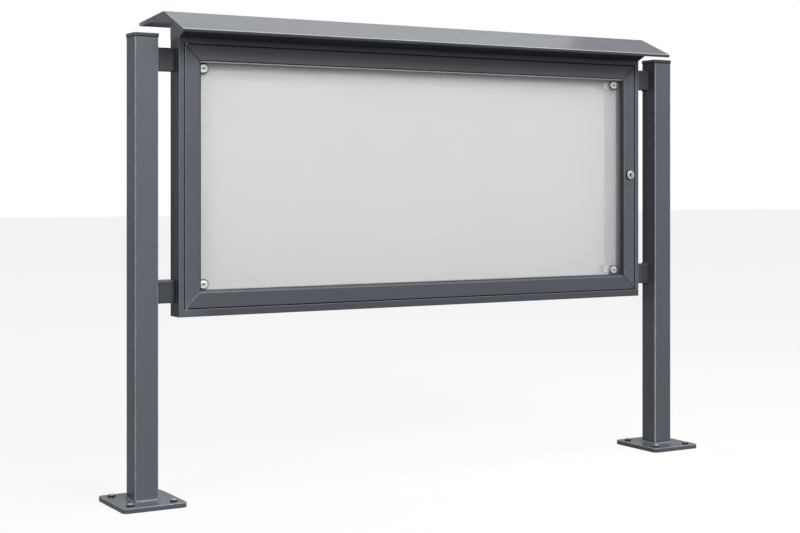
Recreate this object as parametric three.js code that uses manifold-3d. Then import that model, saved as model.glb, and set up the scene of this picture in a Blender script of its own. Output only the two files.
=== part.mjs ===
// A lockable notice board: a shallow glazed case with a small roof, held between two posts.
// Millimetres. X runs along the board, +Y points to its back, +Z up, and the reader stands at -Y.
// The origin lies on the ground under the middle of the whole object.

import * as THREE from "three";
import { mergeVertices } from "three/addons/utils/BufferGeometryUtils.js";
import Module from "manifold-3d";

// Fits shared by all pieces
const seat_gap = 0.3;
const overrun = 4;
const curve_steps = 2;
const round_sides = 20;
const hole_sides = 12;

// Posts, their feet and caps
const post_side = 60;
const post_wall = 3;
const post_corner = 5;
const post_drop = 2.5;
const weld_leg = 3;
const base_plate_width = 160;
const base_plate_depth = 180;
const base_plate_thickness = 12;
const base_plate_corner = 12;
const cap_height = 9;
const cap_overhang = 1.5;
const cap_edge = 1;
const cap_spigot_length = 15;
const cap_spigot_wall = 2.2;
const cap_spigot_corner = 2.3;

// Anchor bolts with their washers
const anchor_inset = 26;
const anchor_diameter = 10;
const anchor_hole_play = 0.6;
const anchor_head_diameter = 14.5;
const anchor_head_height = 5.5;
const anchor_head_rim = 1.2;
const anchor_socket = 6;
const anchor_socket_depth = 3;
const anchor_dome_steps = 3;
const anchor_washer_diameter = 19.5;
const anchor_washer_thickness = 1.6;

// Case: a frame of hollow profiles with a lip round the door and a box behind it
const case_width = 1413;
const case_height = 674.5;
const case_bottom = 443;
const case_setback = 7.5;
const case_profile_depth = 54.5;
const case_wall = 2;
const case_edge = 1;
const case_lip = 13;
const case_bottom_extra = 5;
const case_breadth = 56.5;
const back_sheet_thickness = 1.5;
const back_sheet_inset = 3;

// Arms between the posts and the case
const arm_height = 57;
const arm_depth = 25;
const arm_wall = 3;
const arm_corner = 4;
const arm_end_plate = 5;
const arm_weld_leg = 2;
const arm_inset = 2;
const arm_length = 54.5;
const upper_arm_drop = 52.5;
const lower_arm_rise = 61.5;
const arm_screw_offset = 18;
const arm_screw_setback = 11.5;
const arm_screw_diameter = 8;
const arm_screw_head = 13;
const arm_screw_head_height = 8;
const arm_screw_socket = 6;
const arm_screw_socket_depth = 4;

// Door: a mitred frame of one hollow profile round the pane
const door_gap = 3;
const door_face_width = 36;
const bead_width = 4.5;
const bead_depth = 3.2;
const bead_inset = 0.5;
const bead_skin = 0.5;
const door_thickness = 18;
const door_wall = 2;
const door_edge = 1.2;
const mitre_gap = 0.8;
const pane_flange = 4.2;
const pane_pocket_width = 7;
const pane_pocket_depth = 7;
const pane_thickness = 4;
const pane_bite = 5.5;
const gasket_play = 0.2;
const gasket_reveal = 1.2;
const seal_gap = 2;
const seal_width = 4;
const seal_inset = 1;
const cleat_leg = 60;

// Pivots of the door, hidden in the gap at its left end
const pivot_inset = 6;
const pivot_diameter = 5;
const pivot_collar_diameter = 9;
const pivot_depth_in_door = 22;
const pivot_depth_in_case = 10;
const pivot_block_length = 30;
const pivot_block_depth = 14;
const pivot_block_breadth = 8.4;

// Display board and the four round stand-offs that hold it
const board_setback = 33.5;
const board_thickness = 2;
const board_play = 0.7;
const stand_off_side_inset = 17;
const stand_off_end_inset = 14.5;
const stand_off_diameter = 21;
const stand_off_length = 12;
const stand_off_dish_diameter = 12;
const stand_off_dish_depth = 0.8;
const stand_off_cap = 7;
const stand_off_groove = 0.8;
const stand_off_chamfer = 1.2;
const stud_diameter = 6;
const stud_length = 14;
const bush_diameter = 16;

// Cam lock in the right stile
const lock_lift = 7.25;
const lock_shift = 1.5;
const lock_face_diameter = 28;
const lock_face_height = 3.2;
const lock_face_chamfer = 1;
const lock_body_diameter = 18;
const lock_body_length = 24;
const lock_ring_diameter = 31;
const lock_ring_thickness = 1.2;
const lock_nut_flats = 22;
const lock_nut_thickness = 4;
const plug_diameter = 12;
const plug_tail_diameter = 8;
const plug_screw_diameter = 10;
const plug_screw_height = 3;
const lock_mark_diameter = 2.2;
const lock_mark_depth = 0.6;
const lock_mark_drop = 8.5;
const key_slot_width = 2.6;
const key_slot_height = 7;
const key_slot_depth = 5;
const cam_length = 28;
const cam_width = 14;
const cam_thickness = 3;
const keeper_thickness = 2;
const keeper_height = 50;
const keeper_breadth = 16;
const window_width = 26;
const window_margin = 3;

// Roof: one folded sheet over a box of thin plates
const roof_overhang = 31;
const roof_front_reach = 122.5;
const roof_back_reach = 162.5;
const ridge_rise = 63.5;
const roof_front_drop = 51.5;
const roof_back_drop = 14.5;
const roof_sheet = 1.5;
const roof_bend = 3;
const bend_steps = 4;
const eave_lip = 8;
const gable_lip = 10;
const cheek_thickness = 2;
const soffit_reach = 62;
const soffit_foot = 20;

// Places that follow from the sizes
const case_front = case_setback - post_side / 2;
const case_top = case_bottom + case_height;
const post_spacing = case_width + 2 * arm_length + post_side;
const post_top = case_top - post_drop;
const ridge_height = case_top + ridge_rise;
const roof_length = case_width + 2 * roof_overhang;
const upper_arm_height = case_top - upper_arm_drop;
const lower_arm_height = case_bottom + lower_arm_rise;
const case_box_front = door_thickness + seal_gap;
const case_back = case_front + case_profile_depth;
const case_bottom_lip = case_lip + case_bottom_extra;
const case_bottom_breadth = case_breadth + case_bottom_extra;
const inner_half_width = case_width / 2 - case_breadth;
const inner_bottom = case_bottom + case_bottom_breadth;
const inner_top = case_top - case_breadth;
const door_half_width = case_width / 2 - case_lip - door_gap;
const door_profile_width = door_face_width + bead_width;
const door_bottom = case_bottom + case_bottom_lip + door_gap;
const door_top = case_top - case_lip - door_gap;
const arm_inner_x = case_width / 2;
const arm_outer_x = post_spacing / 2 - post_side / 2;
const arm_y = post_side / 2 - arm_inset - arm_depth / 2;
const arm_screw_y = case_back - arm_screw_setback;
const lock_x = door_half_width - door_face_width / 2 + lock_shift;
const lock_height = (door_bottom + door_top) / 2 + lock_lift;
const lock_window_top = lock_height + cam_width / 2 + window_margin * 2;
const lock_window_bottom = lock_height - cam_length - window_margin;
const cam_front = case_box_front + case_wall + seat_gap + keeper_thickness + 2 * seat_gap;

// Finishes
function finish(color, roughness, metalness) {
  return new THREE.MeshStandardMaterial({ color, roughness, metalness });
}
const anthracite_paint = () => finish(0x64676e, 0.5, 0.1);
const galvanised_steel = () => finish(0xb9bcc0, 0.45, 0.8);
const dark_rubber = () => finish(0x1c1d1f, 0.85, 0);
const board_enamel = () => finish(0xd6d8d8, 0.35, 0);
const clear_pane = () => finish(0xe6eff2, 0.05, 0);
const chrome = () => finish(0xd8dadc, 0.12, 1);
const black_plastic = () => finish(0x2c2e31, 0.6, 0);

// Joining and cutting of closed meshes
const wasm = await Module();
wasm.setup();

function solidOf(geometry) {
  const bare = geometry.clone();
  bare.deleteAttribute("normal");
  bare.deleteAttribute("uv");
  const merged = mergeVertices(bare);
  return new wasm.Manifold(
    new wasm.Mesh({
      numProp: 3,
      vertProperties: merged.attributes.position.array,
      triVerts: new Uint32Array(merged.index.array),
    }),
  );
}

function geometryOf(solid) {
  const mesh = solid.getMesh();
  const geometry = new THREE.BufferGeometry();
  geometry.setAttribute("position", new THREE.BufferAttribute(mesh.vertProperties, 3));
  geometry.setIndex(new THREE.BufferAttribute(mesh.triVerts, 1));
  geometry.computeVertexNormals();
  return geometry;
}

function cut(geometry, ...tools) {
  return geometryOf(tools.reduce((solid, tool) => solid.subtract(solidOf(tool)), solidOf(geometry)));
}

function join(geometry, ...others) {
  return geometryOf(others.reduce((solid, other) => solid.add(solidOf(other)), solidOf(geometry)));
}

// Shapes
function outline(points) {
  return new THREE.Shape(points.map(([x, y]) => new THREE.Vector2(x, y)));
}

function rectangle(left, bottom, right, top) {
  return outline([
    [left, bottom],
    [right, bottom],
    [right, top],
    [left, top],
  ]);
}

function roundedRectangle(width, height, radius) {
  const shape = new THREE.Shape();
  const x = width / 2 - radius;
  const y = height / 2 - radius;
  const quarter = Math.PI / 2;
  const corners = [
    [x, y, 0],
    [-x, y, quarter],
    [-x, -y, 2 * quarter],
    [x, -y, 3 * quarter],
  ];
  for (const [cx, cy, start] of corners) shape.absarc(cx, cy, radius, start, start + quarter, false);
  shape.closePath();
  return shape;
}

function circle(radius, x = 0, y = 0, sides = hole_sides) {
  const turns = Array.from({ length: sides }, (_, k) => (2 * Math.PI * k) / sides);
  return outline(turns.map((turn) => [x + radius * Math.cos(turn), y + radius * Math.sin(turn)]));
}

function extrude(shape, length, steps = curve_steps) {
  return new THREE.ExtrudeGeometry(shape, { depth: length, bevelEnabled: false, curveSegments: steps });
}

// A sheet that stands up: the shape's own y becomes Z, and its front face lies at y = front.
function standing(shape, front, thickness, steps) {
  return extrude(shape, thickness, steps).rotateX(Math.PI / 2).translate(0, front + thickness, 0);
}

// A section in (y, z), drawn out along X with its middle at x = 0
function alongX(shape, length) {
  const geometry = extrude(shape, length);
  return geometry.rotateY(Math.PI / 2).rotateX(Math.PI / 2).translate(-length / 2, 0, 0);
}

function block(x0, x1, y0, y1, z0, z1) {
  const box = new THREE.BoxGeometry(x1 - x0, y1 - y0, z1 - z0);
  return box.translate((x0 + x1) / 2, (y0 + y1) / 2, (z0 + z1) / 2);
}

// A turned piece round the Y axis, given as [radius, y] from its front to its back
function turned(points) {
  return new THREE.LatheGeometry(points.map(([r, y]) => new THREE.Vector2(r, y)), round_sides);
}

function rod(radius, y0, y1) {
  return turned([[0, y0], [radius, y0], [radius, y1], [0, y1]]);
}

// An open line whose inner corners are bent to a radius, as a press brake bends a sheet
function bentLine(points, radius) {
  const line = points.map(([x, y]) => new THREE.Vector2(x, y));
  const bent = [points[0]];
  for (let i = 1; i < line.length - 1; i++) {
    const into = line[i].clone().sub(line[i - 1]).normalize();
    const out = line[i + 1].clone().sub(line[i]).normalize();
    const turn = Math.atan2(into.cross(out), into.dot(out));
    const start = line[i].clone().addScaledVector(into, -radius * Math.tan(Math.abs(turn) / 2));
    const to_centre = new THREE.Vector2(-into.y, into.x).multiplyScalar(radius * Math.sign(turn));
    const centre = start.clone().add(to_centre);
    for (let k = 0; k <= bend_steps; k++) {
      const point = start.clone().rotateAround(centre, (turn * k) / bend_steps);
      bent.push([point.x, point.y]);
    }
  }
  return [...bent, points[points.length - 1]];
}

// The closed outline of a sheet folded along an open line, its thickness to the right of that line
function foldedSheet(points, thickness) {
  const line = points.map(([x, y]) => new THREE.Vector2(x, y));
  const ways = line.slice(1).map((p, i) => p.clone().sub(line[i]).normalize());
  const inner = line.map((p, i) => {
    const before = ways[Math.max(i - 1, 0)];
    const after = ways[Math.min(i, ways.length - 1)];
    const side = new THREE.Vector2(before.y + after.y, -before.x - after.x).normalize();
    const across = new THREE.Vector2(after.y, -after.x);
    return p.clone().addScaledVector(side, thickness / side.dot(across));
  });
  return new THREE.Shape([...line, ...inner.reverse()]);
}

const root = new THREE.Group();
root.name = "notice_board";
const stand = new THREE.Group();
root.add(stand);

function place(parent, name, geometry, material, x = 0, y = 0, z = 0) {
  const mesh = new THREE.Mesh(geometry, material);
  mesh.name = name;
  mesh.position.set(x, y, z);
  parent.add(mesh);
  return mesh;
}

const sides = [
  ["left", -1],
  ["right", 1],
];

// Feet: a plate with rounded corners and four anchor holes
const anchor_x = base_plate_width / 2 - anchor_inset;
const anchor_y = base_plate_depth / 2 - anchor_inset;
const anchor_places = [
  ["front_left", -anchor_x, -anchor_y],
  ["front_right", anchor_x, -anchor_y],
  ["back_left", -anchor_x, anchor_y],
  ["back_right", anchor_x, anchor_y],
];

function basePlate() {
  const shape = roundedRectangle(base_plate_width, base_plate_depth, base_plate_corner);
  const hole_radius = anchor_diameter / 2 + anchor_hole_play;
  for (const [, x, y] of anchor_places) shape.holes.push(circle(hole_radius, x, y));
  return extrude(shape, base_plate_thickness);
}

// A bolt that stands in the plate: domed head with a hexagon socket, washer and the shank down to the ground
function anchorBolt() {
  const washer_top = base_plate_thickness + anchor_washer_thickness;
  const rim_top = washer_top + anchor_head_rim;
  const head_top = washer_top + anchor_head_height;
  const dome = [];
  for (let k = 0; k <= anchor_dome_steps; k++) {
    const turn = (k / anchor_dome_steps) * (Math.PI / 2);
    const reach = (Math.cos(turn) * anchor_head_diameter) / 2;
    dome.push([k < anchor_dome_steps ? reach : 0, rim_top + Math.sin(turn) * (head_top - rim_top)]);
  }
  const body = turned([
    [0, seat_gap],
    [anchor_diameter / 2, seat_gap],
    [anchor_diameter / 2, base_plate_thickness],
    [anchor_washer_diameter / 2, base_plate_thickness],
    [anchor_washer_diameter / 2, washer_top],
    [anchor_head_diameter / 2, washer_top],
    ...dome,
  ]);
  const socket_radius = anchor_socket / Math.sqrt(3);
  const socket = new THREE.CylinderGeometry(socket_radius, socket_radius, 2 * anchor_socket_depth, 6);
  return cut(body.rotateX(Math.PI / 2), socket.rotateX(Math.PI / 2).translate(0, 0, head_top));
}

// A weld bead round a tube: a slab whose far face shrinks to the tube's own outline
function weldBead(width, height, corner, leg) {
  const wide = roundedRectangle(width + 2 * leg, height + 2 * leg, corner + leg);
  const bead = extrude(wide, leg);
  const position = bead.attributes.position;
  for (let i = 0; i < position.count; i++) {
    if (position.getZ(i) < leg / 2) continue;
    position.setX(i, (position.getX(i) * width) / (width + 2 * leg));
    position.setY(i, (position.getY(i) * height) / (height + 2 * leg));
  }
  return bead;
}

function tubeShape(width, height, corner, wall) {
  const shape = roundedRectangle(width, height, corner);
  shape.holes.push(roundedRectangle(width - 2 * wall, height - 2 * wall, corner - wall));
  return shape;
}

function post() {
  const length = post_top - base_plate_thickness;
  const tube = extrude(tubeShape(post_side, post_side, post_corner, post_wall), length);
  const bore_side = post_side - 2 * post_wall;
  const bore = roundedRectangle(bore_side, bore_side, post_corner - post_wall);
  const bead = weldBead(post_side, post_side, post_corner, weld_leg);
  return join(tube, cut(bead, extrude(bore, weld_leg + overrun).translate(0, 0, -overrun / 2)));
}

// The cap: a bevelled lid that stands a little proud of the post, with a hollow spigot inside the tube
function postCap() {
  const lid_side = post_side + 2 * cap_overhang;
  const lid_shape = roundedRectangle(lid_side - 2 * cap_edge, lid_side - 2 * cap_edge, post_corner);
  const lid = new THREE.ExtrudeGeometry(lid_shape, {
    depth: cap_height - 2 * cap_edge,
    bevelThickness: cap_edge,
    bevelSize: cap_edge,
    bevelSegments: 2,
    curveSegments: curve_steps,
  });
  lid.translate(0, 0, cap_edge);
  const spigot_side = post_side - 2 * post_wall - 2 * seat_gap;
  const spigot_shape = tubeShape(spigot_side, spigot_side, cap_spigot_corner, cap_spigot_wall);
  const spigot = extrude(spigot_shape, cap_spigot_length + cap_height / 2);
  spigot.translate(0, 0, -cap_spigot_length);
  return join(lid, spigot);
}

for (const [side, way] of sides) {
  const foot = new THREE.Group();
  foot.position.x = (way * post_spacing) / 2;
  stand.add(foot);
  place(foot, `base_plate_${side}`, basePlate(), anthracite_paint());
  place(foot, `post_${side}`, post(), anthracite_paint(), 0, 0, base_plate_thickness);
  place(foot, `post_cap_${side}`, postCap(), anthracite_paint(), 0, 0, post_top);
  for (const [corner, x, y] of anchor_places)
    place(foot, `anchor_bolt_${side}_${corner}`, anchorBolt(), galvanised_steel(), x, y);
}

// Case profiles in their own frame: x inwards from the outer face, y to the back, z along the profile
function caseSection(lip, breadth) {
  const section = outline([
    [case_edge, 0],
    [lip, 0],
    [lip, case_box_front],
    [breadth, case_box_front],
    [breadth, case_profile_depth],
    [0, case_profile_depth],
    [0, case_edge],
  ]);
  section.holes.push(
    outline([
      [case_wall, case_wall],
      [lip - case_wall, case_wall],
      [lip - case_wall, case_box_front + case_wall],
      [breadth - case_wall, case_box_front + case_wall],
      [breadth - case_wall, case_profile_depth - case_wall],
      [case_wall, case_profile_depth - case_wall],
    ]),
  );
  return section;
}

// A hole through both walls of a side profile, for the screw of one arm
function armScrewHole(z) {
  const hole = rod(arm_screw_diameter / 2 + seat_gap, -overrun, case_breadth + overrun);
  return hole.rotateZ(-Math.PI / 2).translate(0, arm_screw_y - case_front, z);
}

const arm_levels = [
  ["upper", upper_arm_height, upper_arm_height - arm_screw_offset],
  ["lower", lower_arm_height, lower_arm_height + arm_screw_offset],
];

function sideProfile(way) {
  const profile = extrude(caseSection(case_lip, case_breadth), case_height);
  const holes = arm_levels.map(([, , screw_z]) =>
    armScrewHole(way < 0 ? screw_z - case_bottom : case_top - screw_z),
  );
  if (way < 0) return cut(profile, ...holes);
  const middle = case_width / 2 - lock_x;
  const window_hole = block(
    middle - window_width / 2,
    middle + window_width / 2,
    case_box_front - overrun,
    case_box_front + case_wall + overrun,
    case_top - lock_window_top,
    case_top - lock_window_bottom,
  );
  return cut(profile, ...holes, window_hole);
}

// The top and bottom profiles run between the lips, so their boxes are cut back where the side boxes stand.
function crossProfile(lip, breadth, hinge_at_start) {
  const length = case_width - 2 * case_lip - 2 * seat_gap;
  const notch = case_breadth - case_lip;
  const profile = extrude(caseSection(lip, breadth), length);
  const front = case_box_front - seat_gap;
  const back = case_profile_depth + overrun;
  const notches = [
    block(-overrun, breadth + overrun, front, back, -overrun, notch),
    block(-overrun, breadth + overrun, front, back, length - notch, length + overrun),
  ];
  const along = door_gap + pivot_inset - seat_gap;
  const bore = rod(pivot_diameter / 2 + seat_gap, lip - case_wall - overrun / 2, lip + overrun);
  bore.rotateZ(-Math.PI / 2).translate(0, pivot_inset, hinge_at_start ? along : length - along);
  return cut(profile, ...notches, bore);
}

const board_case = new THREE.Group();
board_case.position.set(0, case_front, 0);
stand.add(board_case);

const cross_half = case_width / 2 - case_lip - seat_gap;
const side_half = case_width / 2;
place(board_case, "case_left", sideProfile(-1), anthracite_paint(), -side_half, 0, case_bottom);
const case_right = place(board_case, "case_right", sideProfile(1), anthracite_paint());
case_right.position.set(side_half, 0, case_top);
case_right.rotation.y = Math.PI;
const top_profile = crossProfile(case_lip, case_breadth, true);
const case_upper = place(board_case, "case_top", top_profile, anthracite_paint(), -cross_half, 0, case_top);
case_upper.rotation.y = Math.PI / 2;
const low_profile = crossProfile(case_bottom_lip, case_bottom_breadth, false);
const case_lower = place(board_case, "case_bottom", low_profile, anthracite_paint());
case_lower.position.set(cross_half, 0, case_bottom);
case_lower.rotation.y = -Math.PI / 2;

// Back sheet with the four welded bushes that take the studs of the stand-offs
const stand_off_x = inner_half_width - stand_off_side_inset;
const stand_off_top = inner_top - stand_off_end_inset;
const stand_off_bottom = inner_bottom + stand_off_end_inset;
const stand_off_places = [
  ["upper_left", -stand_off_x, stand_off_top],
  ["upper_right", stand_off_x, stand_off_top],
  ["lower_left", -stand_off_x, stand_off_bottom],
  ["lower_right", stand_off_x, stand_off_bottom],
];

function backSheet() {
  const half = case_width / 2 - back_sheet_inset;
  const shape = rectangle(-half, case_bottom + back_sheet_inset, half, case_top - back_sheet_inset);
  const sheet = standing(shape, case_profile_depth, back_sheet_thickness);
  const bush_front = board_setback + board_thickness + seat_gap;
  const bushes = stand_off_places.map(([, x, z]) =>
    rod(bush_diameter / 2, bush_front, case_profile_depth + back_sheet_thickness / 2).translate(x, 0, z),
  );
  const bores = stand_off_places.map(([, x, z]) =>
    rod(stud_diameter / 2 + seat_gap, bush_front - overrun, case_profile_depth).translate(x, 0, z),
  );
  return cut(join(sheet, ...bushes), ...bores);
}

function displayBoard() {
  const half = inner_half_width - board_play;
  const shape = rectangle(-half, inner_bottom + board_play, half, inner_top - board_play);
  for (const [, x, z] of stand_off_places) shape.holes.push(circle(stud_diameter / 2 + seat_gap, x, z));
  return standing(shape, board_setback, board_thickness);
}

// A round stand-off: a dished cap, a groove, the barrel in front of the board and the stud behind it
function standOff() {
  const front = board_setback - stand_off_length;
  const radius = stand_off_diameter / 2;
  const groove = front + stand_off_cap;
  const stud_end = board_setback + board_thickness + stud_length;
  return turned([
    [0, front + stand_off_dish_depth],
    [stand_off_dish_diameter / 2, front + stand_off_dish_depth],
    [stand_off_dish_diameter / 2, front],
    [radius - stand_off_chamfer, front],
    [radius, front + stand_off_chamfer],
    [radius, groove],
    [radius - stand_off_groove, groove],
    [radius - stand_off_groove, groove + stand_off_groove],
    [radius, groove + stand_off_groove],
    [radius, board_setback],
    [stud_diameter / 2, board_setback],
    [stud_diameter / 2, stud_end],
    [0, stud_end],
  ]);
}

place(board_case, "back_sheet", backSheet(), anthracite_paint());
place(board_case, "display_board", displayBoard(), board_enamel());
for (const [corner, x, z] of stand_off_places)
  place(board_case, `stand_off_${corner}`, standOff(), chrome(), x, 0, z);

// Weather seal on the case, a ring that the closed door presses on
const opening_half = door_half_width - door_profile_width;
const opening_bottom = door_bottom + door_profile_width;
const opening_top = door_top - door_profile_width;

// A ring round the door's opening with one section all the way, given as [distance outside it, y]
function framed(section) {
  const ring_corners = [
    [-1, -1],
    [1, -1],
    [1, 1],
    [-1, 1],
  ];
  const spots = ring_corners.flatMap(([way_x, way_z]) =>
    section.flatMap(([out, y]) => [
      way_x * (opening_half + out),
      y,
      way_z > 0 ? opening_top + out : opening_bottom - out,
    ]),
  );
  const count = section.length;
  const faces = [];
  for (let corner = 0; corner < ring_corners.length; corner++)
    for (let k = 0; k < count; k++) {
      const here = corner * count;
      const next = ((corner + 1) % ring_corners.length) * count;
      const after = (k + 1) % count;
      faces.push(here + k, next + after, here + after, here + k, next + k, next + after);
    }
  const geometry = new THREE.BufferGeometry();
  geometry.setAttribute("position", new THREE.Float32BufferAttribute(spots, 3));
  geometry.setIndex(faces);
  geometry.computeVertexNormals();
  return geometry;
}

const seal_front = door_thickness + seat_gap;
const seal_ring = framed([
  [seal_inset + seal_width, seal_front],
  [seal_inset, seal_front],
  [seal_inset, case_box_front],
  [seal_inset + seal_width, case_box_front],
]);
place(board_case, "door_seal", seal_ring, dark_rubber());

// Keeper plate behind the lock window of the right profile
const keeper_front = case_box_front + case_wall + seat_gap;
const keeper_left = lock_x + window_width / 2 + seat_gap;
const keeper_right = keeper_left + keeper_breadth;
const keeper_shape = rectangle(keeper_left, -keeper_height / 2, keeper_right, keeper_height / 2);
const keeper = standing(keeper_shape, keeper_front, keeper_thickness);
place(board_case, "lock_keeper", keeper, galvanised_steel(), 0, 0, lock_height);

// Pivots: a block inside each lip holds a pin with a collar that fills the gap to the door
const pivot_x = -door_half_width + pivot_inset;

function pivotPin() {
  const radius = pivot_diameter / 2;
  const collar = pivot_collar_diameter / 2;
  return turned([
    [0, -pivot_depth_in_door],
    [radius, -pivot_depth_in_door],
    [radius, seat_gap],
    [collar, seat_gap],
    [collar, door_gap],
    [radius, door_gap],
    [radius, door_gap + pivot_depth_in_case],
    [0, door_gap + pivot_depth_in_case],
  ]);
}

function pivotBlock(way) {
  const near = door_gap + case_wall + seat_gap;
  const far = near + pivot_block_breadth;
  const left = seat_gap - pivot_inset - door_gap;
  const front = case_wall + seat_gap - pivot_inset;
  const low = Math.min(way * near, way * far);
  const high = Math.max(way * near, way * far);
  const body = block(left, pivot_block_length / 2, front, front + pivot_block_depth, low, high);
  const bore = rod(pivot_diameter / 2 + seat_gap, 0, door_gap + pivot_depth_in_case + seat_gap);
  return cut(body, bore.rotateX((way * Math.PI) / 2));
}

const pivot_ends = [
  ["top", door_top, 1],
  ["bottom", door_bottom, -1],
];
for (const [end, z, way] of pivot_ends) {
  const pivot = new THREE.Group();
  pivot.position.set(pivot_x, pivot_inset, z);
  board_case.add(pivot);
  const pin = pivotPin().rotateX((way * Math.PI) / 2);
  place(pivot, `pivot_pin_${end}`, pin, galvanised_steel());
  place(pivot, `pivot_block_${end}`, pivotBlock(way), galvanised_steel());
}

// Arms: a rectangular tube welded to the post, closed by a threaded plate against the case
function arm(screw_shift) {
  const length = arm_outer_x - arm_inner_x;
  const tube = alongX(tubeShape(arm_depth, arm_height, arm_corner, arm_wall), length);
  const plate = alongX(roundedRectangle(arm_depth, arm_height, arm_corner), arm_end_plate);
  plate.translate((arm_end_plate - length) / 2, 0, 0);
  const bead_cut = alongX(
    roundedRectangle(arm_depth - 2 * arm_wall, arm_height - 2 * arm_wall, arm_corner - arm_wall),
    arm_weld_leg + overrun,
  );
  const bead = weldBead(arm_depth, arm_height, arm_corner, arm_weld_leg);
  bead.rotateY(Math.PI / 2).rotateX(Math.PI / 2).rotateZ(Math.PI);
  const bead_ring = cut(bead, bead_cut).translate(length / 2, 0, 0);
  const hole = rod(arm_screw_diameter / 2 + seat_gap, -arm_end_plate - overrun, arm_end_plate + overrun);
  hole.rotateZ(Math.PI / 2).translate(-length / 2, arm_screw_y - arm_y, screw_shift);
  return cut(join(tube, plate, bead_ring), hole);
}

// A socket screw that runs through the case profile into the arm, turned with its head at the origin
function armScrew() {
  const length = case_breadth + arm_end_plate;
  const head = -arm_screw_head_height;
  const screw = turned([
    [0, head],
    [arm_screw_head / 2, head],
    [arm_screw_head / 2, 0],
    [arm_screw_diameter / 2, 0],
    [arm_screw_diameter / 2, length],
    [0, length],
  ]);
  const socket = new THREE.CylinderGeometry(
    arm_screw_socket / Math.sqrt(3),
    arm_screw_socket / Math.sqrt(3),
    2 * arm_screw_socket_depth,
    6,
  );
  return cut(screw, socket.translate(0, head, 0));
}

const arm_middle = (arm_inner_x + arm_outer_x) / 2;
for (const [side, way] of sides)
  for (const [level, z, screw_z] of arm_levels) {
    const tube = arm((screw_z - z) * way);
    const bracket = place(stand, `arm_${level}_${side}`, tube, anthracite_paint());
    bracket.position.set(way * arm_middle, arm_y, z);
    bracket.rotation.y = way < 0 ? Math.PI : 0;
    const screw_x = way * inner_half_width;
    const screw = place(stand, `arm_screw_${level}_${side}`, armScrew(), galvanised_steel());
    screw.position.set(screw_x, arm_screw_y, screw_z);
    screw.rotation.z = (-way * Math.PI) / 2;
  }

// Door: four members of one profile, mitred at the corners
function doorSection() {
  const pocket = door_profile_width - pane_pocket_depth;
  const pocket_back = pane_flange + pane_pocket_width;
  const section = outline([
    [door_edge, 0],
    [door_face_width, 0],
    [door_face_width, bead_depth],
    [door_profile_width, bead_depth],
    [door_profile_width, pane_flange],
    [pocket, pane_flange],
    [pocket, pocket_back],
    [door_profile_width, pocket_back],
    [door_profile_width, door_thickness],
    [0, door_thickness],
    [0, door_edge],
  ]);
  const back = door_thickness - door_wall;
  section.holes.push(
    outline([
      [door_wall, door_wall],
      [pocket - door_wall, door_wall],
      [pocket - door_wall, pocket_back + door_wall],
      [door_profile_width - door_wall, pocket_back + door_wall],
      [door_profile_width - door_wall, back],
      [door_wall, back],
    ]),
  );
  return section;
}

function mitredMember(length) {
  const bar = extrude(doorSection(), length);
  const position = bar.attributes.position;
  for (let i = 0; i < position.count; i++) {
    const cut_back = position.getX(i) + mitre_gap / 2;
    position.setZ(i, position.getZ(i) < length / 2 ? cut_back : length - cut_back);
  }
  return bar;
}

const door = new THREE.Group();
door.position.set(0, case_front, 0);
stand.add(door);

const door_width = 2 * door_half_width;
const door_height = door_top - door_bottom;

function pivotHole(z) {
  const reach = pivot_depth_in_door + overrun;
  const hole = rod(pivot_diameter / 2 + seat_gap, -reach, reach);
  return hole.rotateX(Math.PI / 2).translate(pivot_inset, pivot_inset, z);
}

function lockHole() {
  const hole = rod(lock_body_diameter / 2 + seat_gap, -overrun, door_thickness + overrun);
  return hole.translate(door_half_width - lock_x, 0, door_top - lock_height);
}

const left_stile = cut(mitredMember(door_height), pivotHole(0), pivotHole(door_height));
place(door, "door_stile_left", left_stile, anthracite_paint(), -door_half_width, 0, door_bottom);
const right_stile = cut(mitredMember(door_height), lockHole());
const stile_right = place(door, "door_stile_right", right_stile, anthracite_paint());
stile_right.position.set(door_half_width, 0, door_top);
stile_right.rotation.y = Math.PI;

// The rails' outer tips stand over the pivots, so the pins pass through them as well.
function railPivotHole(z) {
  const hole = rod(pivot_diameter / 2 + seat_gap, -overrun, door_profile_width);
  return hole.rotateZ(-Math.PI / 2).translate(0, pivot_inset, z);
}

const top_rail = cut(mitredMember(door_width), railPivotHole(pivot_inset));
const rail_top = place(door, "door_rail_top", top_rail, anthracite_paint(), -door_half_width, 0, door_top);
rail_top.rotation.y = Math.PI / 2;
const bottom_rail = cut(mitredMember(door_width), railPivotHole(door_width - pivot_inset));
const rail_bottom = place(door, "door_rail_bottom", bottom_rail, anthracite_paint());
rail_bottom.position.set(door_half_width, 0, door_bottom);
rail_bottom.rotation.y = -Math.PI / 2;

// Corner cleats inside the hollow members; the two at the hinge side carry the pivot bores
function cleat(way_x, way_z, bored) {
  const near = door_wall + seat_gap;
  const far = door_profile_width - pane_pocket_depth - door_wall - seat_gap;
  const angle = outline(
    [
      [near, near],
      [cleat_leg, near],
      [cleat_leg, far],
      [far, far],
      [far, cleat_leg],
      [near, cleat_leg],
    ].map(([x, z]) => [x * way_x, z * way_z]),
  );
  const geometry = standing(angle, near, door_thickness - 2 * near);
  if (!bored) return geometry;
  const bore = rod(pivot_diameter / 2 + seat_gap, 0, pivot_depth_in_door + seat_gap);
  bore.rotateX(way_z > 0 ? Math.PI / 2 : -Math.PI / 2);
  return cut(geometry, bore.translate(pivot_inset, pivot_inset, 0));
}

const corners = [
  ["top_left", 1, -1],
  ["top_right", -1, -1],
  ["bottom_left", 1, 1],
  ["bottom_right", -1, 1],
];
for (const [corner, way_x, way_z] of corners) {
  const x = -way_x * door_half_width;
  const z = way_z > 0 ? door_bottom : door_top;
  place(door, `corner_cleat_${corner}`, cleat(way_x, way_z, way_x > 0), galvanised_steel(), x, 0, z);
}

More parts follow.
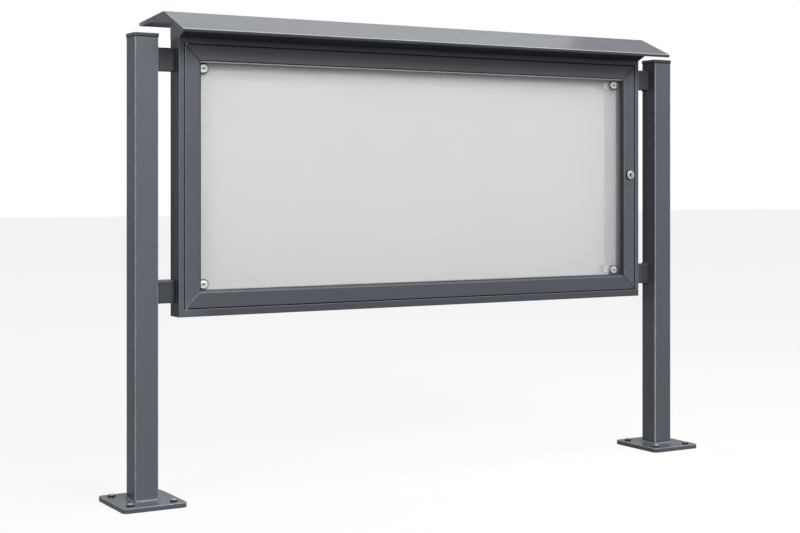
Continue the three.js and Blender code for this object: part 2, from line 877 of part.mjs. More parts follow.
// Pane and its gasket, which wraps the pane's edge and slopes up to the frame's face as a black bead
const pocket_middle = pane_flange + pane_pocket_width / 2;
const pane_front = pocket_middle - pane_thickness / 2;

function pane() {
  const half = opening_half + pane_bite;
  const shape = rectangle(-half, opening_bottom - pane_bite, half, opening_top + pane_bite);
  return standing(shape, pane_front, pane_thickness);
}

function paneGasket() {
  const front = pane_flange + gasket_play;
  const back = pane_flange + pane_pocket_width - gasket_play;
  const outer = pane_pocket_depth - gasket_play;
  const slot = pane_bite + gasket_play;
  const slot_front = pane_front - gasket_play;
  const slot_back = pane_front + pane_thickness + gasket_play;
  const bead_out = bead_width - seat_gap;
  const bead_foot = bead_depth - seat_gap;
  const slope = (bead_foot - bead_skin - bead_inset) / (bead_out + seat_gap);
  return framed([
    [bead_out, bead_inset],
    [-gasket_reveal, bead_inset + (bead_out + gasket_reveal) * slope],
    [-gasket_reveal, slot_front],
    [slot, slot_front],
    [slot, slot_back],
    [-gasket_reveal, slot_back],
    [-gasket_reveal, back],
    [outer, back],
    [outer, front],
    [-seat_gap, front],
    [-seat_gap, bead_foot],
    [bead_out, bead_foot],
  ]);
}

place(door, "door_pane", pane(), clear_pane());
place(door, "pane_gasket", paneGasket(), dark_rubber());

// Lock: the housing and its nut stay with the door, the plug and its cam turn in it
const lock = new THREE.Group();
lock.position.set(lock_x, 0, lock_height);
door.add(lock);

function lockHousing() {
  const bore = plug_diameter / 2 + seat_gap;
  const face_back = -lock_ring_thickness;
  const face = face_back - lock_face_height;
  const body = lock_body_diameter / 2;
  const housing = turned([
    [bore, face],
    [lock_face_diameter / 2 - lock_face_chamfer, face],
    [lock_face_diameter / 2, face + lock_face_chamfer],
    [lock_face_diameter / 2, face_back],
    [body, face_back],
    [body, lock_body_length],
    [bore, lock_body_length],
    [bore, face],
  ]);
  const mark = rod(lock_mark_diameter / 2, face - overrun, face + lock_mark_depth);
  return cut(housing, mark.translate(0, 0, -lock_mark_drop));
}

function lockRing() {
  const bore = lock_body_diameter / 2 + seat_gap;
  const ring_shape = circle(lock_ring_diameter / 2, 0, 0, round_sides);
  ring_shape.holes.push(circle(bore, 0, 0, round_sides));
  return standing(ring_shape, -lock_ring_thickness, lock_ring_thickness);
}

function lockNut() {
  const radius = lock_nut_flats / Math.sqrt(3);
  const nut_front = door_thickness;
  const nut = new THREE.CylinderGeometry(radius, radius, lock_nut_thickness, 6);
  nut.translate(0, nut_front + lock_nut_thickness / 2, 0);
  const bore_end = nut_front + lock_nut_thickness + overrun;
  return cut(nut, rod(lock_body_diameter / 2 + seat_gap, nut_front - overrun, bore_end));
}

function lockPlug() {
  const face = -lock_ring_thickness - lock_face_height + seat_gap;
  const cam_back = cam_front + cam_thickness;
  const plug = turned([
    [0, face],
    [plug_diameter / 2, face],
    [plug_diameter / 2, cam_front - seat_gap],
    [plug_tail_diameter / 2, cam_front - seat_gap],
    [plug_tail_diameter / 2, cam_back + seat_gap],
    [plug_screw_diameter / 2, cam_back + seat_gap],
    [plug_screw_diameter / 2, cam_back + seat_gap + plug_screw_height],
    [0, cam_back + seat_gap + plug_screw_height],
  ]);
  const key_slot = block(
    -key_slot_width / 2,
    key_slot_width / 2,
    face - overrun,
    face + key_slot_depth,
    -key_slot_height / 2,
    key_slot_height / 2,
  );
  return cut(plug, key_slot);
}

// The cam: a flat finger with round ends that hangs down when the lock is open
function lockCam() {
  const radius = cam_width / 2;
  const shape = new THREE.Shape();
  shape.absarc(0, 0, radius, 0, Math.PI, false);
  shape.absarc(0, radius - cam_length, radius, Math.PI, 2 * Math.PI, false);
  shape.closePath();
  shape.holes.push(circle(plug_tail_diameter / 2 + seat_gap));
  return standing(shape, cam_front, cam_thickness, round_sides / 4);
}

place(lock, "lock_housing", lockHousing(), chrome());
place(lock, "lock_ring", lockRing(), black_plastic());
place(lock, "lock_nut", lockNut(), galvanised_steel());
place(lock, "lock_plug", lockPlug(), chrome());
place(lock, "lock_cam", lockCam(), galvanised_steel());

// Roof sheet, drawn in (y, z) round the ridge above the posts
const front_slope = roof_front_drop / roof_front_reach;
const back_slope = roof_back_drop / roof_back_reach;
const front_eave = ridge_height - roof_front_drop;
const back_eave = ridge_height - roof_back_drop;

// The lips are folded square to their slopes, so the front one leans back a little.
function roofSheet() {
  const down_front = new THREE.Vector2(front_slope, -1).normalize();
  const down_back = new THREE.Vector2(-back_slope, -1).normalize();
  const up_front = new THREE.Vector2(1, front_slope).normalize();
  const up_back = new THREE.Vector2(-1, back_slope).normalize();
  const eave_front = new THREE.Vector2(-roof_front_reach, front_eave);
  const eave_back = new THREE.Vector2(roof_back_reach, back_eave);
  const beside = (from, ...steps) => {
    const spot = steps.reduce((sum, [way, length]) => sum.addScaledVector(way, length), from.clone());
    return [spot.x, spot.y];
  };
  const fold_line = bentLine(
    [
      beside(eave_front, [down_front, eave_lip]),
      beside(eave_front),
      [0, ridge_height],
      beside(eave_back),
      beside(eave_back, [down_back, eave_lip]),
    ],
    roof_bend,
  );
  const gable = outline([
    ...fold_line,
    beside(eave_back, [down_back, gable_lip], [up_back, gable_lip]),
    [0, ridge_height - gable_lip],
    beside(eave_front, [down_front, gable_lip], [up_front, gable_lip]),
  ]);
  const gable_shift = (roof_length - roof_sheet) / 2;
  return join(
    alongX(foldedSheet(fold_line, roof_sheet), roof_length),
    alongX(gable, roof_sheet).translate(-gable_shift, 0, 0),
    alongX(gable, roof_sheet).translate(gable_shift, 0, 0),
  );
}

// The height of the roof's underside, less a clear seat for the plates below it
function underRoof(y) {
  const slope = y < 0 ? front_slope : -back_slope;
  const thickness = roof_sheet * Math.hypot(1, slope);
  return ridge_height + slope * y - thickness - seat_gap;
}

// The soffit rises forward from the top of the case until it meets the roof.
const soffit_front = case_front - soffit_reach;
const soffit_top = underRoof(soffit_front);
const roof_box_back = case_back + back_sheet_thickness;

function cheek() {
  return outline([
    [case_front, case_top],
    [roof_box_back, case_top],
    [roof_box_back, underRoof(roof_box_back)],
    [0, underRoof(0)],
    [soffit_front, soffit_top],
  ]);
}

const inside_length = case_width - 2 * cheek_thickness - 2 * seat_gap;
const soffit_line = [
  [case_front + soffit_foot, case_top],
  [case_front, case_top],
  [soffit_front, soffit_top - roof_sheet],
];
const rear_line = [
  [roof_box_back, underRoof(roof_box_back)],
  [roof_box_back, case_top],
  [roof_box_back - soffit_foot, case_top],
];

place(stand, "roof_sheet", roofSheet(), anthracite_paint());
const soffit = alongX(foldedSheet(soffit_line, roof_sheet), inside_length);
const rear_plate = alongX(foldedSheet(rear_line, roof_sheet), inside_length);
place(stand, "roof_soffit", soffit, anthracite_paint());
place(stand, "roof_rear_plate", rear_plate, anthracite_paint());
for (const [side, way] of sides) {
  const shift = (way * (case_width - cheek_thickness)) / 2;
  place(stand, `roof_cheek_${side}`, alongX(cheek(), cheek_thickness), anthracite_paint(), shift);
}

// The middle of the whole object is set over the origin.
const extent = new THREE.Box3().setFromObject(root);
stand.position.y = -(extent.min.y + extent.max.y) / 2;

export default root;
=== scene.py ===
import math

import bmesh
import bpy
from mathutils import Matrix, Vector


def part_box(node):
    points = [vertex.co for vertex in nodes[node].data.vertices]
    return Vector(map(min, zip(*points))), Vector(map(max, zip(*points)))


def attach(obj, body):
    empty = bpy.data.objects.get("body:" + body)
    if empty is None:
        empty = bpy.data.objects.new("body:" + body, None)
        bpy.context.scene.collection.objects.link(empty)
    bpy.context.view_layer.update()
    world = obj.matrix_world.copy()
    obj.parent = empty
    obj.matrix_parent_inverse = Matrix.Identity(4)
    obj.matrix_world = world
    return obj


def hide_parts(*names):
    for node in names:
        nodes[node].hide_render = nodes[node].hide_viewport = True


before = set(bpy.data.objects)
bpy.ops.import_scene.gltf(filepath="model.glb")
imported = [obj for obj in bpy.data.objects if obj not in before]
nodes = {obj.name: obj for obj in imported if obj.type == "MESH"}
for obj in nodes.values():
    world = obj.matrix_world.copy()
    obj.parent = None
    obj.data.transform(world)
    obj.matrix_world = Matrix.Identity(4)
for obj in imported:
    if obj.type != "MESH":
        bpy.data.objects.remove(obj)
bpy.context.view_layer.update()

# Camera
# A level view from in front and to the left of the board, at the height of a table.
# The lens looks straight ahead, and its shift brings the feet into the picture.
camera_place = (-2.1066, -3.4665, 0.7663)
camera_heading = -30.5
lens_length = 68.5
lens_shift = -0.1041
camera = bpy.data.objects.new("camera", bpy.data.cameras.new("camera"))
camera.data.sensor_width = 36
camera.data.lens = lens_length
camera.data.shift_y = lens_shift
camera.location = camera_place
camera.rotation_euler = (math.radians(90), 0, math.radians(camera_heading))
bpy.context.scene.collection.objects.link(camera)
bpy.context.scene.camera = camera
bpy.context.scene.view_settings.view_transform = "Standard"

# Studio
# A pale floor, a surround that looks white, and soft lamps: two high in front, one that reaches in below
# the eave, a narrow one at each side and one overhead that draw light along the edges, and two behind.
def for_ray(tree, kind, usual, other):
    """One value for this kind of ray, and the usual one for all the rest."""
    ray = tree.nodes.new("ShaderNodeLightPath")
    mix = tree.nodes.new("ShaderNodeMix")
    if isinstance(usual, float):
        mix.inputs["A"].default_value = usual
    else:
        tree.links.new(usual, mix.inputs["A"])
    mix.inputs["B"].default_value = other
    tree.links.new(ray.outputs[kind], mix.inputs["Factor"])
    return mix.outputs["Result"]


world = bpy.data.worlds.new("studio_surround")
bpy.context.scene.world = world
world.use_nodes = True
surround = world.node_tree.nodes["Background"]
surround.inputs["Color"].default_value = (1, 1, 1, 1)
surround_in_matt = 0.12
surround_in_gloss = 0.37
strength = for_ray(world.node_tree, "Is Glossy Ray", surround_in_matt, surround_in_gloss)
strength = for_ray(world.node_tree, "Is Transmission Ray", strength, 1.0)
strength = for_ray(world.node_tree, "Is Camera Ray", strength, 1.0)
world.node_tree.links.new(strength, surround.inputs["Strength"])


def soft_lamp(name, place, aim, width, height, watts):
    lamp = bpy.data.lights.new(name, "AREA")
    lamp.shape = "RECTANGLE"
    lamp.size = width
    lamp.size_y = height
    lamp.energy = watts
    holder = bpy.data.objects.new(name, lamp)
    holder.location = place
    holder.rotation_euler = (Vector(aim) - Vector(place)).to_track_quat("-Z", "Y").to_euler()
    bpy.context.scene.collection.objects.link(holder)


soft_lamp("lamp_high_in_front", (0.2, -4.0, 3.4), (0, 0, 0.8), 2.4, 1.6, 131)
soft_lamp("lamp_high_at_the_right", (2.6, -3.6, 3.2), (0, 0, 0.8), 2.0, 1.6, 25)
soft_lamp("lamp_below_the_eave", (-0.6, -4.4, 2.3), (0, 0, 0.5), 2.0, 0.8, 26)
soft_lamp("lamp_at_the_left", (-4.0, -2.4, 1.8), (-0.5, 0, 0.8), 0.5, 2.4, 36)
soft_lamp("lamp_at_the_right", (4.2, -1.0, 1.8), (0.5, 0, 0.8), 0.5, 2.4, 8)
soft_lamp("lamp_behind_roof", (1.33, 3.4, 4.0), (0, 0, 1.1), 4.1, 1.4, 10)
soft_lamp("lamp_high_behind", (-1.0, 2.6, 5.0), (0, 0, 0.8), 2.0, 1.4, 22)
soft_lamp("lamp_overhead", (1.7, -0.6, 4.0), (1.7, -0.6, 0), 2.6, 0.4, 36)

floor_mesh = bpy.data.meshes.new("studio_floor")
floor_half = 30
floor_corners = [(-floor_half, -floor_half, 0), (floor_half, -floor_half, 0)]
floor_corners += [(floor_half, floor_half, 0), (-floor_half, floor_half, 0)]
floor_mesh.from_pydata(floor_corners, [], [(0, 1, 2, 3)])
studio_floor = bpy.data.objects.new("studio_floor", floor_mesh)
bpy.context.scene.collection.objects.link(studio_floor)
floor_paint = bpy.data.materials.new("studio_floor_paint")
floor_paint.use_nodes = True
floor_shader = floor_paint.node_tree.nodes["Principled BSDF"]
floor_shader.inputs["Roughness"].default_value = 0.9
floor_shader.inputs["Specular IOR Level"].default_value = 0.1
floor_shader.inputs["Emission Color"].default_value = (1, 1, 1, 1)
floor_tone = for_ray(floor_paint.node_tree, "Is Camera Ray", 0.07, 0.15)
floor_glow = for_ray(floor_paint.node_tree, "Is Glossy Ray", 0.08, 0.25)
floor_glow = for_ray(floor_paint.node_tree, "Is Camera Ray", floor_glow, 0.86)
floor_paint.node_tree.links.new(floor_tone, floor_shader.inputs["Base Color"])
floor_paint.node_tree.links.new(floor_glow, floor_shader.inputs["Emission Strength"])
floor_mesh.materials.append(floor_paint)


# Posts, base plates and caps
# Square steel tube with rounded corners, closed by pressed lids and welded to drilled foot plates.
# All of it is powder coated in anthracite: a satin skin with a fine grain, a little settled dust with a
# painted sheen on the faces that look up, and a painted highlight along each edge.
class Finish:
    """One finish being mixed: a shader, and the textures laid out in the object's own metres."""

    def __init__(self, name, tone, roughness, metallic=0.0):
        self.material = bpy.data.materials.new(name)
        self.material.use_nodes = True
        self.tree = self.material.node_tree
        self.shader = self.tree.nodes["Principled BSDF"]
        self.shader.inputs["Base Color"].default_value = (*tone, 1)
        self.shader.inputs["Roughness"].default_value = roughness
        self.shader.inputs["Metallic"].default_value = metallic
        self.place = self.tree.nodes.new("ShaderNodeTexCoord").outputs["Object"]
        self.tone = tone
        self.relief = None
        self.rounded = None

    def node(self, kind, **settings):
        made = self.tree.nodes.new(kind)
        for key, value in settings.items():
            setattr(made, key, value)
        return made

    def feed(self, source, target):
        self.tree.links.new(source, target)

    def cloud(self, per_metre, detail=3, stretch=(1, 1, 1)):
        spread = self.node("ShaderNodeMapping")
        spread.inputs["Scale"].default_value = stretch
        noise = self.node("ShaderNodeTexNoise")
        noise.inputs["Scale"].default_value = per_metre
        noise.inputs["Detail"].default_value = detail
        self.feed(self.place, spread.inputs["Vector"])
        self.feed(spread.outputs["Vector"], noise.inputs["Vector"])
        return noise.outputs["Fac"]

    def ramp(self, source, low, high, to_low=0.0, to_high=1.0):
        scale = self.node("ShaderNodeMapRange")
        scale.inputs["From Min"].default_value = low
        scale.inputs["From Max"].default_value = high
        scale.inputs["To Min"].default_value = to_low
        scale.inputs["To Max"].default_value = to_high
        self.feed(source, scale.inputs["Value"])
        return scale.outputs["Result"]

    def math(self, operation, *terms):
        sum_node = self.node("ShaderNodeMath", operation=operation)
        for socket, term in zip(sum_node.inputs, terms):
            if isinstance(term, (int, float)):
                socket.default_value = term
            else:
                self.feed(term, socket)
        return sum_node.outputs[0]

    def times(self, first, second):
        return self.math("MULTIPLY", first, second)

    def along(self, axis):
        place = self.node("ShaderNodeSeparateXYZ")
        self.feed(self.place, place.inputs["Vector"])
        return place.outputs[axis]

    def seam(self, distance, width):
        """One where two pieces meet, fading out within this width of the joint: a dark joint line, or
        painted shade where one piece shades the other.
        """
        return self.ramp(self.math("ABSOLUTE", distance), width, 0.5 * width)

    def tint(self, amount, tone):
        """Blends another tone over what the shader has so far."""
        mix = self.node("ShaderNodeMix", data_type="RGBA")
        base = self.shader.inputs["Base Color"]
        if base.is_linked:
            self.feed(base.links[0].from_socket, mix.inputs["A"])
        else:
            mix.inputs["A"].default_value = (*self.tone, 1)
        mix.inputs["B"].default_value = (*tone, 1)
        self.feed(amount, mix.inputs["Factor"])
        self.feed(mix.outputs["Result"], base)

    def gloss(self, source, low, high):
        self.feed(self.ramp(source, 0.3, 0.7, low, high), self.shader.inputs["Roughness"])

    def round_edges(self, radius):
        """Shades each sharp edge as if it had this radius, as the thick coat on it does."""
        rounding = self.node("ShaderNodeBevel", samples=6)
        rounding.inputs["Radius"].default_value = radius
        self.rounded = rounding.outputs["Normal"]
        self.relief = self.rounded
        self.feed(self.relief, self.shader.inputs["Coat Normal"])

    def bump(self, source, depth, strength=1.0):
        relief = self.node("ShaderNodeBump")
        relief.inputs["Distance"].default_value = depth
        relief.inputs["Strength"].default_value = strength
        self.feed(source, relief.inputs["Height"])
        if self.relief:
            self.feed(self.relief, relief.inputs["Normal"])
        self.relief = relief.outputs["Normal"]
        self.feed(self.relief, self.shader.inputs["Normal"])

    def at_left(self, share=1.0):
        """This share on the left half of the object, none on the right half, and a fade between them."""
        return self.ramp(self.along("X"), 0.1, -0.1, 0.0, share)

    def at_right(self, share=1.0):
        return self.ramp(self.along("X"), -0.1, 0.1, 0.0, share)

    def thin_skin(self, where, weight):
        """Brings the glossy skin of the coat down to this weight where the mask is one."""
        skin = self.shader.inputs["Coat Weight"]
        self.feed(self.ramp(where, 0.0, 1.0, skin.default_value, weight), skin)

    def facing(self, axis):
        normal = self.node("ShaderNodeSeparateXYZ")
        self.feed(self.node("ShaderNodeNewGeometry").outputs["Normal"], normal.inputs["Vector"])
        return normal.outputs[axis]

    def sideways(self, low, high):
        return self.ramp(self.math("ABSOLUTE", self.facing("X")), low, high)

    def from_axis(self, across, up):
        """Distance from a line that runs front to back, from the distances across and up."""
        return self.math("SQRT", self.math("ADD", self.times(across, across), self.times(up, up)))

    def along_folds(self):
        """One along each fold, where the rounded surface leans away from the flat one."""
        lean = self.node("ShaderNodeVectorMath", operation="DOT_PRODUCT")
        self.feed(self.rounded, lean.inputs[0])
        self.feed(self.node("ShaderNodeNewGeometry").outputs["Normal"], lean.inputs[1])
        return self.ramp(lean.outputs["Value"], 0.995, 0.95)

    def along_edges(self):
        """One along each straight edge, where the rounded surface leans between two of the piece's axes."""
        own = self.node("ShaderNodeVectorTransform", vector_type="NORMAL")
        own.convert_from = "WORLD"
        own.convert_to = "OBJECT"
        size = self.node("ShaderNodeVectorMath", operation="ABSOLUTE")
        parts = self.node("ShaderNodeSeparateXYZ")
        self.feed(self.rounded, own.inputs["Vector"])
        self.feed(own.outputs["Vector"], size.inputs[0])
        self.feed(size.outputs["Vector"], parts.inputs["Vector"])
        most = least = parts.outputs["X"]
        for axis in ("Y", "Z"):
            most = self.math("MAXIMUM", most, parts.outputs[axis])
            least = self.math("MINIMUM", least, parts.outputs[axis])
        return self.times(self.ramp(most, 0.965, 0.9), self.ramp(least, 0.3, 0.12))

    def along_level_edges(self):
        """One along each level edge, where the rounded surface leans between sideways and up."""
        lean = self.node("ShaderNodeSeparateXYZ")
        self.feed(self.rounded, lean.inputs["Vector"])
        off_side = self.ramp(lean.outputs["Z"], 0.15, 0.3)
        off_top = self.ramp(lean.outputs["Z"], 0.97, 0.92)
        return self.times(off_side, off_top)


def shade(tone, share):
    return tuple(c * share for c in tone)


def powder_coat(name, tone, dust_and_sheen=0.1, dust_and_sheen_tone=(0.4, 0.44, 0.5), edge_highlight=3.0, folded=False):
    coat = Finish(name, tone, 0.42)
    coat.shader.inputs["Specular IOR Level"].default_value = 0.25
    coat.shader.inputs["Coat Weight"].default_value = 0.8
    coat.shader.inputs["Coat Roughness"].default_value = 0.14
    coat.round_edges(0.0022)
    coat.tint(coat.ramp(coat.cloud(5, 4), 0.38, 0.66), shade(tone, 1.08))
    # Painted highlight: a lighter tone along each edge or fold, standing in for light caught by the rounded
    # edge.
    edges = coat.along_folds() if folded else coat.along_edges()
    coat.tint(coat.times(edges, coat.ramp(coat.cloud(45), 0.35, 0.6, 0.6, 1.0)), shade(tone, edge_highlight))
    # Settled dust and painted sheen: a pale bluish tone on the faces that look up.
    patches = coat.ramp(coat.cloud(9, 5), 0.3, 0.75, 0.7 * dust_and_sheen, dust_and_sheen)
    coat.tint(coat.times(coat.ramp(coat.facing("Z"), 0.55, 1.0), patches), dust_and_sheen_tone)
    coat.gloss(coat.cloud(22, 4), 0.4, 0.5)
    coat.bump(coat.cloud(260, 2), 0.00012, 0.5)
    coat.bump(coat.cloud(1100, 2), 0.00006, 0.6)
    return coat


anthracite = (0.106, 0.117, 0.14)
# Near black: dark joint lines, and painted shade where one part shades another.
joint_line_and_painted_shade = (0.018, 0.019, 0.021)
frame_coat = powder_coat("anthracite_powder_coat", anthracite).material


def soften(name, edge):
    """The small radius that a cut or folded edge really has."""
    piece = nodes[name]
    weld = piece.modifiers.new("joined", "WELD")
    weld.merge_threshold = 0.00002
    bevel = piece.modifiers.new("edge", "BEVEL")
    bevel.width = edge
    bevel.segments = 2
    bevel.limit_method = "ANGLE"
    bevel.angle_limit = math.radians(32)
    bevel.harden_normals = True
    for face in piece.data.polygons:
        face.use_smooth = True
    piece.modifiers.new("shading", "WEIGHTED_NORMAL").keep_sharp = True


def finish_nodes(names, material, edge=0.0):
    for name in names:
        nodes[name].data.materials.clear()
        nodes[name].data.materials.append(material)
        if edge:
            soften(name, edge)


post_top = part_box("post_left")[1][2]
post_coat = powder_coat("post_powder_coat", anthracite, edge_highlight=3.8)
# Painted light: the front of the left post is lighter.
painted_light_on_left_front = post_coat.times(post_coat.at_left(), post_coat.sideways(0.6, 0.3))
post_coat.tint(painted_light_on_left_front, shade(anthracite, 1.2))
# Painted shade: the side of the right post that faces the case is darker and less glossy, above its lowest
# part.
painted_shade_beside_case = post_coat.times(post_coat.at_right(), post_coat.sideways(0.6, 0.9))
painted_shade_beside_case = post_coat.times(painted_shade_beside_case, post_coat.ramp(post_coat.along("Z"), 0.35, 0.55))
post_coat.tint(painted_shade_beside_case, shade(anthracite, 0.7))
post_coat.thin_skin(painted_shade_beside_case, 0.35)
# Painted shade: a dark line round each post under the lip of its cap.
below_cap = post_coat.math("SUBTRACT", post_coat.along("Z"), post_top)
post_coat.tint(post_coat.seam(below_cap, 0.0022), joint_line_and_painted_shade)
finish_nodes(["post_left", "post_right"], post_coat.material)
# Dust with a painted sheen: a strong bluish tone on the tops of the plates.
plate_coat = powder_coat("plate_powder_coat", anthracite, dust_and_sheen=0.26, dust_and_sheen_tone=(0.28, 0.36, 0.52), edge_highlight=1.3)
# Painted shade: the right foot plate is a little darker.
plate_coat.tint(plate_coat.at_right(0.75), shade(anthracite, 0.9))
# Painted highlight: a light line along the level edges of each plate.
plate_coat.tint(plate_coat.along_level_edges(), shade(anthracite, 4.5))
finish_nodes(["base_plate_left", "base_plate_right"], plate_coat.material, edge=0.001)
cap_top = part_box("post_cap_left")[1][2]
cap_coat = powder_coat("cap_powder_coat", shade(anthracite, 0.8))
# Painted shade: dark lines at the lower edge of each cap and just below its top.
for crease, width in ((post_top + 0.001, 0.0024), (cap_top - 0.003, 0.0014)):
    from_crease = cap_coat.math("SUBTRACT", cap_coat.along("Z"), crease)
    cap_coat.tint(cap_coat.seam(from_crease, width), joint_line_and_painted_shade)
finish_nodes(["post_cap_left", "post_cap_right"], cap_coat.material, edge=0.0006)

# Anchor bolts
# Zinc-plated bolts with a low domed head and a hexagon socket, each on a dark flat washer.
# They are tightened down on the foot plates, each in its own turn.
head_zinc = Finish("bolt_zinc", (0.66, 0.67, 0.68), 0.34, 0.7)
head_zinc.tint(head_zinc.ramp(head_zinc.cloud(240, 4), 0.4, 0.65), (0.54, 0.55, 0.57))
plate_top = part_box("base_plate_left")[1][2]
# Painted shade: the flank of each head, down to the washer, is near black.
rim_light = 0.0048
rim_dark = 0.004
painted_shade_below_head = head_zinc.ramp(head_zinc.along("Z"), plate_top + rim_light, plate_top + rim_dark)
head_zinc.tint(painted_shade_below_head, (0.04, 0.042, 0.046))
head_zinc.gloss(head_zinc.cloud(500), 0.28, 0.42)
head_zinc.bump(head_zinc.cloud(1500), 0.00008)
washer_steel = Finish("washer_dark_steel", (0.045, 0.047, 0.052), 0.5, 0.6)
washer_steel.tint(washer_steel.ramp(washer_steel.cloud(300, 4), 0.5, 0.7), (0.1, 0.095, 0.09))
washer_steel.gloss(washer_steel.cloud(400), 0.4, 0.6)
washer_steel.bump(washer_steel.cloud(1800), 0.00006)


def lathe_rings(mesh, profile, sides, material_index=0, shape=None):
    """Turns a profile of (radius, height) round Z; shape(angle, radius) may pull a ring out of round."""
    rings = []
    for radius, height in profile:
        ring = []
        for corner in range(sides):
            turn = 2 * math.pi * corner / sides
            reach = radius * (shape(turn, radius) if shape else 1)
            ring.append(mesh.verts.new((reach * math.cos(turn), reach * math.sin(turn), height)))
        rings.append(ring)
    for low, high in zip(rings, rings[1:]):
        for corner in range(sides):
            after = (corner + 1) % sides
            face = mesh.faces.new((low[corner], low[after], high[after], high[corner]))
            face.material_index = material_index
    mesh.faces.new(list(reversed(rings[0]))).material_index = material_index
    mesh.faces.new(rings[-1]).material_index = material_index


def add_piece(name, mesh, materials, smooth_angle=35):
    data = bpy.data.meshes.new(name)
    bmesh.ops.recalc_face_normals(mesh, faces=mesh.faces)
    mesh.to_mesh(data)
    mesh.free()
    for material in materials:
        data.materials.append(material)
    for face in data.polygons:
        face.use_smooth = True
    data.set_sharp_from_angle(angle=math.radians(smooth_angle))
    piece = bpy.data.objects.new(name, data)
    bpy.context.scene.collection.objects.link(piece)
    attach(piece, "stand")
    return piece


bolt_names = [name for name in nodes if name.startswith("anchor_bolt")]
head_radius = 0.00725
head_dome = 0.0018
socket_corner = 0.0035
socket_wall = socket_corner * 0.94
socket_depth = 0.0028
washer_thickness = 0.0016
washer_edge = 0.0003
washer_chamfer = 0.0005
washer_hole_share = 0.5
least_rim = 0.0012
dome_steps = 8
dome_lean = 7
turn_between_bolts = 0.7
zinc, steel = range(2)
for number, name in enumerate(sorted(bolt_names)):
    low, high = (Vector(corner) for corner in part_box(name))
    washer_radius = (high.x - low.x) / 2
    washer_top = plate_top + washer_thickness
    mesh = bmesh.new()
    washer_hole = washer_radius * washer_hole_share
    washer = [(washer_hole, plate_top), (washer_radius - washer_edge, plate_top)]
    washer += [(washer_radius, plate_top + washer_edge), (washer_radius, washer_top - washer_chamfer)]
    washer += [(washer_radius - washer_chamfer, washer_top), (washer_hole, washer_top)]
    lathe_rings(mesh, washer, 40, steel)
    twist = number * turn_between_bolts

    def socketed(turn, radius):
        """Round outside the socket, six-sided inside it."""
        sector = math.pi / 3
        flat = math.cos(sector / 2) / math.cos(((turn + twist) % sector) - sector / 2)
        return flat if radius <= socket_corner else 1

    rim = max(washer_top + least_rim, high.z - head_dome)
    dome = high.z - rim
    head = [(head_radius - washer_edge, washer_top), (head_radius, washer_top + washer_edge)]
    head.append((head_radius, rim))
    for step in range(1, dome_steps + 1):
        lean = math.radians(dome_lean * step)
        head.append((head_radius * math.cos(lean), rim + dome * math.sin(lean)))
    socket_edge = head[-1][1]
    head += [(socket_corner, socket_edge + 0.0001), (socket_wall, socket_edge - 0.0004)]
    head.append((socket_wall, socket_edge - socket_depth))
    lathe_rings(mesh, head, 48, zinc, socketed)
    middle = (low + high) / 2
    bmesh.ops.translate(mesh, verts=mesh.verts, vec=(middle.x, middle.y, 0))
    bolt_finishes = [head_zinc.material, washer_steel.material]
    bolt = add_piece(name.replace("anchor_bolt", "bolt_head"), mesh, bolt_finishes)
    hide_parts(name)


# Weld beads
# A run of weld round the foot of each post and round each arm where it meets its post.
# The beads are laid by hand, so the ripples of the weld pool show under the paint.
def rounded_loop(half_x, half_y, corner):
    """The outline of a tube, with each corner as a quarter circle."""
    arc_steps = 6
    points = []
    for to_x, to_y, quarter in ((1, 1, 0), (-1, 1, 1), (-1, -1, 2), (1, -1, 3)):
        for step in range(arc_steps + 1):
            turn = (quarter + step / arc_steps) * math.pi / 2
            x = to_x * (half_x - corner) + corner * math.cos(turn)
            y = to_y * (half_y - corner) + corner * math.sin(turn)
            points.append(Vector((x, y)))
    return points


def weld_bead(name, half_x, half_y, corner, leg, pitch, to_world, coat):
    """A bead of this leg that swells and shrinks once in each pitch along its way."""
    outline = rounded_loop(half_x, half_y, corner)
    walked = []
    for number, point in enumerate(outline):
        after = outline[(number + 1) % len(outline)]
        length = (after - point).length
        parts = max(1, round(length / (pitch / 4)))
        for part in range(parts):
            walked.append(point.lerp(after, part / parts))
    mesh = bmesh.new()
    loops = []
    travelled = 0.0
    for number, point in enumerate(walked):
        before = walked[number - 1]
        after = walked[(number + 1) % len(walked)]
        way = (after - before).normalized()
        out = Vector((way.y, -way.x))
        travelled += (point - before).length
        ripple = 0.5 + 0.5 * math.cos(2 * math.pi * travelled / pitch)
        swell = leg * (0.94 + 0.1 * ripple)
        section = [(0.0, 0.0), (swell, 0.0), (swell * 0.82, swell * 0.42)]
        section += [(swell * 0.42, swell * 0.82), (0.0, swell)]
        loops.append([mesh.verts.new((*(point + out * r), z)) for r, z in section])
    for number, loop in enumerate(loops):
        after = loops[(number + 1) % len(loops)]
        for this in range(len(loop)):
            other = (this + 1) % len(loop)
            mesh.faces.new((loop[this], after[this], after[other], loop[other]))
    mesh.transform(to_world)
    bead = add_piece(name, mesh, [coat], 60)


# Painted shade: the beads round the arms take a much darker copy of the coat.
bead_painted_shade_coat = powder_coat("bead_painted_shade_powder_coat", shade(anthracite, 0.45), edge_highlight=1.2).material
post_half = 0.03
post_corner = 0.005
foot_leg = 0.0036
foot_pitch = 0.003
arm_half_height = 0.03
arm_half_depth = 0.0125
arm_corner = 0.004
arm_leg = 0.0024
arm_pitch = 0.0026
for side in ("left", "right"):
    low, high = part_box(f"post_cap_{side}")
    place = Matrix.Translation(((low[0] + high[0]) / 2, (low[1] + high[1]) / 2, plate_top))
    name = f"foot_weld_{side}"
    weld_bead(name, post_half, post_half, post_corner, foot_leg, foot_pitch, place, frame_coat)
    turn = 1 if side == "left" else -1
    for level in ("upper", "lower"):
        low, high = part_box(f"arm_{level}_{side}")
        wall = low[0] if side == "left" else high[0]
        face = Matrix.Rotation(turn * math.pi / 2, 4, "Y")
        place = Matrix.Translation((wall, (low[1] + high[1]) / 2, (low[2] + high[2]) / 2))
        name = f"arm_weld_{level}_{side}"
        halves = (arm_half_height, arm_half_depth)
        weld_bead(name, *halves, arm_corner, arm_leg, arm_pitch, place @ face, bead_painted_shade_coat)
